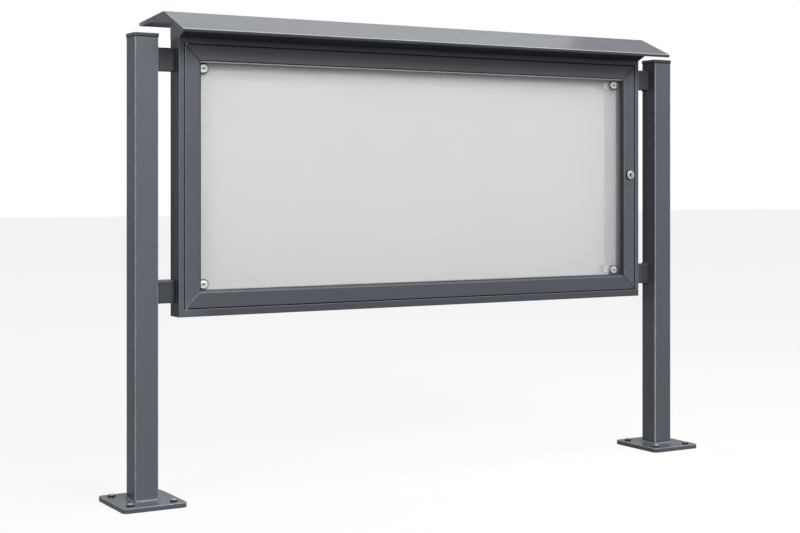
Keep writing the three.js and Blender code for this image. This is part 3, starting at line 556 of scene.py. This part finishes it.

# Arms and case
# Rectangular tubes carry the case; it is a frame of coated hollow profiles with a rim round the door.
# A sheet closes its back, and four screws hold it to the arms from inside.
# Painted shade: the arms take a darker copy of the coat, as they lie in shade between posts and case.
arm_painted_shade_coat = powder_coat("arm_powder_coat_painted_shade", shade(anthracite, 0.68), edge_highlight=2.0)
from_middle = arm_painted_shade_coat.math("ABSOLUTE", arm_painted_shade_coat.along("X"))
# Painted shade: dark bands where each arm meets its post and the case.
for arm_end in (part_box("arm_upper_right")[0][0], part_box("arm_upper_right")[1][0]):
    arm_painted_shade_coat.tint(arm_painted_shade_coat.seam(arm_painted_shade_coat.math("SUBTRACT", from_middle, arm_end), 0.003), joint_line_and_painted_shade)
# Painted shadow: a dark band on each left arm beside the left post.
left_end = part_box("arm_upper_left")[0][0]
post_shadow = 0.016
painted_shadow_beside_left_post = arm_painted_shade_coat.ramp(arm_painted_shade_coat.along("X"), left_end + post_shadow, left_end + 0.5 * post_shadow)
arm_painted_shade_coat.tint(painted_shadow_beside_left_post, joint_line_and_painted_shade)
arm_names = [f"arm_{level}_{side}" for level in ("upper", "lower") for side in ("left", "right")]
finish_nodes(arm_names, arm_painted_shade_coat.material)
case_coat = powder_coat("case_powder_coat", anthracite)
# Painted shade: the sides of the case are darker and less glossy.
painted_shade_on_sides = case_coat.sideways(0.8, 0.95)
case_coat.tint(painted_shade_on_sides, shade(anthracite, 0.66))
case_coat.thin_skin(painted_shade_on_sides, 0.3)
rim_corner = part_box("case_bottom")[0]
rim_left = rim_corner[0]
rim_low = rim_corner[2]
# Painted shade: the front of the low rim is darker, fading in from the left corner.
low_rim_height = 0.0172
low_rim_fade = 0.001
painted_shade_on_low_rim = case_coat.times(
    case_coat.ramp(case_coat.along("Z"), rim_low + low_rim_height, rim_low + low_rim_height - low_rim_fade),
    case_coat.ramp(case_coat.along("X"), rim_left + 0.01, rim_left + 0.08),
)
case_coat.tint(painted_shade_on_low_rim, shade(anthracite, 0.72))
finish_nodes(["case_left", "case_right", "case_top", "case_bottom"], case_coat.material, edge=0.0009)
finish_nodes(["back_sheet"], frame_coat, edge=0.0004)
dull_zinc = Finish("dull_zinc", (0.4, 0.41, 0.43), 0.45, 0.8)
dull_zinc.tint(dull_zinc.ramp(dull_zinc.cloud(180, 5), 0.42, 0.66), (0.28, 0.29, 0.31))
dull_zinc.gloss(dull_zinc.cloud(400), 0.36, 0.58)
dull_zinc.bump(dull_zinc.cloud(1400), 0.00006)
inner_steel = [name for name in nodes if name.startswith(("arm_screw", "pivot_", "corner_cleat"))]
finish_nodes(inner_steel + ["lock_keeper", "lock_nut"], dull_zinc.material)
finish_nodes(["lock_cam"], dull_zinc.material, edge=0.0003)

# Display board
# A flat steel sheet with a pale grey-white enamel, wiped clean, on which notices are put up.
# It shows faint wiping streaks and a very fine orange peel.
enamel = Finish("board_enamel", (0.735, 0.735, 0.725), 0.3)
enamel.tint(enamel.ramp(enamel.cloud(2.5, 5), 0.35, 0.7), (0.72, 0.72, 0.71))
enamel.tint(enamel.ramp(enamel.cloud(9, 4, (0.5, 1, 3)), 0.4, 0.8, 0.0, 0.3), (0.71, 0.71, 0.7))
enamel.gloss(enamel.cloud(7, 5, (0.4, 1, 2)), 0.3, 0.34)
enamel.bump(enamel.cloud(320, 2), 0.00003, 0.5)
finish_nodes(["display_board"], enamel.material)

# Stand-offs and lock
# Turned and chrome-plated: four round heads that hold the display board, and the lock in the right stile.
# Each head has a crown made brighter by a painted glow round a dull dish, a near black side and ring that
# stand in for the head's shadow (painted shade), and a rubber ring where it meets the board.
def turned_metal(name, tone, roughness, metallic):
    metal = Finish(name, tone, roughness, metallic)
    metal.tint(metal.ramp(metal.cloud(160, 4), 0.45, 0.7), shade(tone, 0.9))
    metal.gloss(metal.cloud(260, 4), 0.8 * roughness, 1.3 * roughness)
    metal.bump(metal.cloud(2400, 2), 0.00002, 0.4)
    return metal


chrome = turned_metal("satin_chrome_plate_painted_glow", (0.68, 0.69, 0.69), 0.3, 0.3)
# Painted glow: the crowns glow a little, standing in for the white surround they mirror.
chrome.shader.inputs["Emission Color"].default_value = (1, 1, 1, 1)
chrome.shader.inputs["Emission Strength"].default_value = 0.42
dish_metal = turned_metal("dish_satin_metal", (0.2, 0.21, 0.21), 0.3, 0.4)
# Painted shade: near black metal for the side of each head and the ring round it.
painted_shade_metal = turned_metal("painted_shade_chrome", (0.012, 0.012, 0.013), 0.45, 0.3)
base_rubber = Finish("stand_off_base_rubber", (0.02, 0.02, 0.021), 0.7)
base_rubber.tint(base_rubber.ramp(base_rubber.cloud(600), 0.45, 0.7), (0.04, 0.04, 0.041))
base_rubber.gloss(base_rubber.cloud(600), 0.6, 0.8)
base_rubber.bump(base_rubber.cloud(1500), 0.00008)
board_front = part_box("display_board")[0][1]
dish_radius = 0.0046
dish_depth = 0.0009
crown_width = 0.0008
crown_shoulder = 0.0074
crown_drop = 0.0018
neck_depth = 0.0012
shadow_ring_step = 0.0026
shadow_ring_start = 0.0026
shadow_ring_end = 0.0066
collar_seat = 0.0004
barrel_start = 0.0072
base_thickness = 0.0011
stud_radius = 0.003
bright, dull, rubber, dark = range(4)
for name in sorted(name for name in nodes if name.startswith("stand_off")):
    low, high = (Vector(corner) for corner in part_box(name))
    radius = (high.x - low.x) / 2
    front = low.y
    mesh = bmesh.new()
    neck = radius - neck_depth
    crown = [(dish_radius, front + dish_depth), (dish_radius + 0.0003, front + 0.0002)]
    crown += [(dish_radius + crown_width, front), (crown_shoulder, front + 0.0005)]
    crown += [(neck, front + 0.0011), (radius - collar_seat, front + crown_drop)]
    lathe_rings(mesh, crown, 48, bright)
    # Painted shade: the side and a ring just wider than the head, standing where the head's shadow falls.
    shadow_ring = radius + shadow_ring_step
    side = [(radius - collar_seat, front + crown_drop), (radius - 0.0002, front + 0.0024)]
    side += [(shadow_ring, front + shadow_ring_start), (shadow_ring, front + shadow_ring_end)]
    behind_shadow_ring = front + shadow_ring_end + 0.0004
    side += [(radius - collar_seat, behind_shadow_ring), (neck, behind_shadow_ring)]
    lathe_rings(mesh, side, 48, dark)
    lathe_rings(mesh, [(0.0004, front + 0.0007), (dish_radius, front + 0.0008)], 48, dull)
    barrel = [(neck, front + barrel_start), (radius - collar_seat, front + barrel_start + 0.0006)]
    barrel += [(radius, front + barrel_start + 0.001), (radius, board_front - 0.0012)]
    lathe_rings(mesh, barrel, 48, dull)
    base = [(radius - 0.0002, board_front - base_thickness), (radius, board_front - 0.0009)]
    base += [(radius, board_front - 0.0001)]
    lathe_rings(mesh, base, 48, rubber)
    lathe_rings(mesh, [(stud_radius, board_front - 0.0001), (stud_radius, high.y)], 16, bright)
    for corner in mesh.verts:
        corner.co = (corner.co.x, corner.co.z, corner.co.y)
    middle = (low + high) / 2
    bmesh.ops.translate(mesh, verts=mesh.verts, vec=(middle.x, 0, middle.z))
    finishes = [chrome.material, dish_metal.material, base_rubber.material, painted_shade_metal.material]
    head = add_piece(name.replace("stand_off", "board_fixing"), mesh, finishes)
    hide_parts(name)
lock_low, lock_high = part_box("lock_housing")
lock_radius = (lock_high[0] - lock_low[0]) / 2
plug_rim = (0.0072, 0.0058)
slot_rim = (0.0042, 0.0034)
slot_narrower = 1.2
slot_lift = 0.0006
mark_rim = (0.0017, 0.0011)
mark_drop = 0.0075
face_bulge = 0.0024
lock_face = turned_metal("lock_chrome_plate", (0.74, 0.76, 0.73), 0.22, 0.45)
across = lock_face.math("SUBTRACT", lock_face.along("X"), (lock_low[0] + lock_high[0]) / 2)
lock_middle = (lock_low[2] + lock_high[2]) / 2
up = lock_face.math("SUBTRACT", lock_face.along("Z"), lock_middle)
from_lock = lock_face.from_axis(across, up)
lock_face.tint(lock_face.ramp(from_lock, *plug_rim, 0.0, 0.8), (0.5, 0.53, 0.47))
# Painted shade: a near black ring at the outer edge of the lock face.
lock_face.tint(lock_face.ramp(from_lock, lock_radius - 0.002, lock_radius - 0.0013), (0.02, 0.021, 0.023))
# Painted shade: the key slot is near black.
above_slot = lock_face.math("SUBTRACT", up, slot_lift)
from_slot = lock_face.from_axis(lock_face.times(across, slot_narrower), above_slot)
lock_face.tint(lock_face.ramp(from_slot, *slot_rim), (0.002, 0.003, 0.002))
from_mark = lock_face.from_axis(across, lock_face.math("ADD", up, mark_drop))
lock_face.tint(lock_face.ramp(from_mark, *mark_rim), (0.09, 0.1, 0.09))
spread = lock_face.times(from_lock, 1 / lock_radius)
convex = lock_face.math("SUBTRACT", 1.0, lock_face.times(spread, spread))
lock_face.bump(convex, face_bulge)
finish_nodes(["lock_housing", "lock_plug"], lock_face.material, edge=0.0003)
ring_plastic = Finish("lock_ring_plastic", (0.02, 0.021, 0.023), 0.5)
ring_plastic.tint(ring_plastic.ramp(ring_plastic.cloud(300), 0.5, 0.7), (0.035, 0.036, 0.038))
ring_plastic.gloss(ring_plastic.cloud(500), 0.42, 0.6)
ring_plastic.bump(ring_plastic.cloud(1600), 0.00005)
finish_nodes(["lock_ring"], ring_plastic.material, edge=0.0003)

# Door frame
# Four lengths of one hollow profile, mitred and drawn together by hidden corner cleats.
# The same powder coat as the stand, with the sharper edges of an extruded profile.
door_low, door_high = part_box("door_stile_right")
door_middle = (door_low[2] + door_high[2]) / 2


def door_finish(name, tone):
    """Three of the mitres show a dark joint line; the lower left one, next to the hinge, has a painted
    highlight instead.
    """
    coat = powder_coat(name, tone)
    fade = 0.01
    from_side = coat.math("SUBTRACT", door_high[0], coat.math("ABSOLUTE", coat.along("X")))
    from_end = coat.math("ABSOLUTE", coat.math("SUBTRACT", coat.along("Z"), door_middle))
    from_end = coat.math("SUBTRACT", door_high[2] - door_middle, from_end)
    from_mitre = coat.math("SUBTRACT", from_side, from_end)
    below = coat.ramp(coat.along("Z"), door_middle + fade, door_middle - fade)
    lower_left_highlight = coat.times(below, coat.ramp(coat.along("X"), fade, -fade))
    elsewhere = coat.math("SUBTRACT", 1.0, lower_left_highlight)
    coat.tint(coat.times(elsewhere, coat.seam(from_mitre, 0.0022)), joint_line_and_painted_shade)
    coat.tint(coat.times(lower_left_highlight, coat.seam(from_mitre, 0.0018)), shade(anthracite, 3.6))
    return coat.material


upper_members = ["door_stile_left", "door_stile_right", "door_rail_top"]
finish_nodes(upper_members, door_finish("door_powder_coat", anthracite), edge=0.0006)
# Painted shade: the bottom rail takes a darker copy of the coat.
finish_nodes(["door_rail_bottom"], door_finish("rail_powder_coat_painted_shade", shade(anthracite, 0.84)), edge=0.0006)

# Pane, gasket and seal
# A clean pane in a rubber gasket, whose bead slopes from the frame down to the glass.
# A black foam seal on the case lies behind the closed door.
pane = Finish("clear_pane", (0.97, 0.985, 0.98), 0.02)
pane.shader.inputs["Transmission Weight"].default_value = 1.0
pane.shader.inputs["Alpha"].default_value = 0.35
pane.shader.inputs["IOR"].default_value = 1.5
pane.gloss(pane.cloud(6, 5, (0.5, 1, 1.6)), 0.0, 0.05)
pane.bump(pane.cloud(3, 2), 0.0004, 0.05)
finish_nodes(["door_pane"], pane.material)
gasket = Finish("gasket_rubber", (0.02, 0.021, 0.022), 0.45)
gasket.tint(gasket.ramp(gasket.cloud(90, 4), 0.45, 0.7), (0.03, 0.031, 0.032))
bead_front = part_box("pane_gasket")[0][1]
bead_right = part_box("pane_gasket")[1][0]
slope_depth = 0.001
bead_width = 0.012
in_front = gasket.ramp(gasket.along("Y"), bead_front + slope_depth + 0.0004, bead_front + slope_depth)
painted_reflection_near_glass = gasket.ramp(gasket.along("Y"), bead_front + slope_depth, bead_front + slope_depth + 0.0003)
facing_down = gasket.ramp(gasket.facing("Z"), -0.2, -0.35)
not_at_right = gasket.ramp(gasket.along("X"), bead_right - bead_width, bead_right - bead_width - 0.001)
# The front of the bead takes the frame's tone; along the top and at the right it is left black, which is
# painted shade.
above_sill = gasket.times(in_front, gasket.math("SUBTRACT", 1.0, facing_down))
gasket.tint(gasket.times(above_sill, not_at_right), anthracite)
# Painted reflection: a light line on the bead along the top, next to the glass.
gasket.tint(gasket.times(painted_reflection_near_glass, facing_down), (0.55, 0.56, 0.55))
gasket.gloss(gasket.cloud(200), 0.38, 0.5)
gasket.bump(gasket.cloud(900), 0.0001)
finish_nodes(["pane_gasket"], gasket.material)
seal = Finish("foam_seal", (0.012, 0.012, 0.013), 0.9)
seal.tint(seal.ramp(seal.cloud(700), 0.45, 0.7), (0.03, 0.03, 0.032))
seal.gloss(seal.cloud(500), 0.8, 0.95)
seal.bump(seal.cloud(1200), 0.0003)
finish_nodes(["door_seal"], seal.material)

# Roof
# One folded sheet with a turned-down lip on every side, on a closed box of thin plates.
# Its top is open to the weather, so dust lies on it, with a painted sheen, and painted highlights run along
# its small bends.
roof_dust_and_sheen = (0.36, 0.42, 0.52)
roof_coat = powder_coat("roof_powder_coat", anthracite, dust_and_sheen=0.16, dust_and_sheen_tone=roof_dust_and_sheen, edge_highlight=6, folded=True)
facing_reader = roof_coat.ramp(roof_coat.facing("Y"), -0.3, -0.5)
out_of_slope = roof_coat.times(
    roof_coat.ramp(roof_coat.facing("Z"), 0.3, 0.5),
    roof_coat.ramp(roof_coat.facing("Z"), 0.88, 0.75),
)
on_lip = roof_coat.ramp(roof_coat.facing("Z"), 0.3, 0.0)
# Painted highlight: a light line along the front bend of the eave.
roof_coat.tint(roof_coat.times(facing_reader, out_of_slope), (0.6, 0.62, 0.64))
# Painted shade: the front face of the eave's lip is darker.
roof_coat.tint(roof_coat.times(facing_reader, on_lip), shade(anthracite, 0.55))
back_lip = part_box("roof_sheet")[1][1]
# Painted light: near the back lip the faces that do not look up are much lighter, standing in for light
# from the ground.
painted_light_in_back_lip = roof_coat.times(
    roof_coat.ramp(roof_coat.along("Y"), back_lip - 0.06, back_lip - 0.01),
    roof_coat.ramp(roof_coat.facing("Y"), 0.1, -0.1),
)
not_above = roof_coat.ramp(roof_coat.facing("Z"), 0.3, 0.2)
roof_coat.tint(roof_coat.times(painted_light_in_back_lip, not_above), shade(anthracite, 6))
finish_nodes(["roof_sheet"], roof_coat.material, edge=0.0005)
finish_nodes(["roof_rear_plate", "roof_cheek_left", "roof_cheek_right"], frame_coat, edge=0.0003)
# Painted shade: the soffit under the eave takes a much darker, less glossy copy of the coat.
soffit_painted_shade_coat = powder_coat("soffit_powder_coat_painted_shade", shade(anthracite, 0.3))
soffit_painted_shade_coat.shader.inputs["Coat Weight"].default_value = 0.2
finish_nodes(["roof_soffit"], soffit_painted_shade_coat.material, edge=0.0003)
